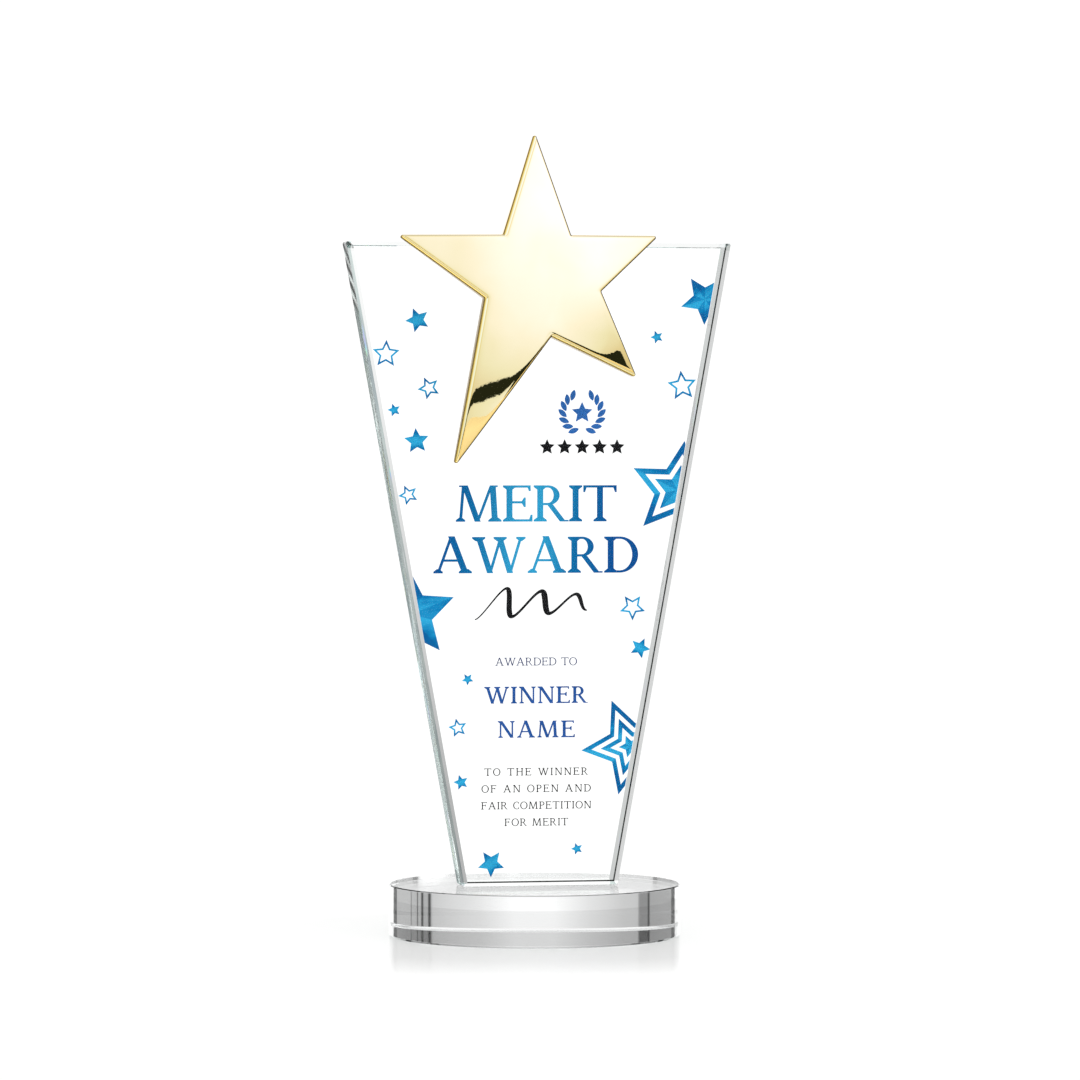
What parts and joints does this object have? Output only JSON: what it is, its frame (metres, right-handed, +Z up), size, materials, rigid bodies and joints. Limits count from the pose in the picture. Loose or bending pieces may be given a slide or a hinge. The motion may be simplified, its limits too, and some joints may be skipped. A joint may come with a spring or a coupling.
{
  "type": "star trophy",
  "caption": "Tapered clear crystal award plate on a round crystal foot, with a bevelled metal star bonded to its face and blue printed stars and text on its back.",
  "frame": {"origin": "centre of the foot's underside", "axes": "+Z up along the plate's height; the side with the metal star faces -Y; +X to the right as seen from that side"},
  "size_m": [0.12, 0.09, 0.2468],
  "materials": {
    "crystal": "polished optical crystal",
    "clear_adhesive": "cured clear adhesive",
    "gold_plate": "mirror-polished pale gold plating",
    "blue_foil_ink": "printed ink, foil-effect blue gradient",
    "royal_blue_ink": "printed ink",
    "navy_ink": "printed ink",
    "black_ink": "printed ink",
    "white_ink": "opaque white backing ink"
  },
  "bodies": {
    "root": {"base_disc": "crystal", "base_bond": "clear_adhesive", "award_plate": "crystal", "star_bond": "clear_adhesive", "star_casting": "gold_plate", "print_title": "blue_foil_ink", "print_small_stars": "blue_foil_ink", "print_large_stars": "blue_foil_ink", "print_emblem": "royal_blue_ink", "print_recipient": "royal_blue_ink", "print_flourish": "black_ink", "print_rating": "black_ink", "print_award_line": "navy_ink", "print_citation": "black_ink", "print_white_backing": "white_ink"}
  },
  "joints": []
}
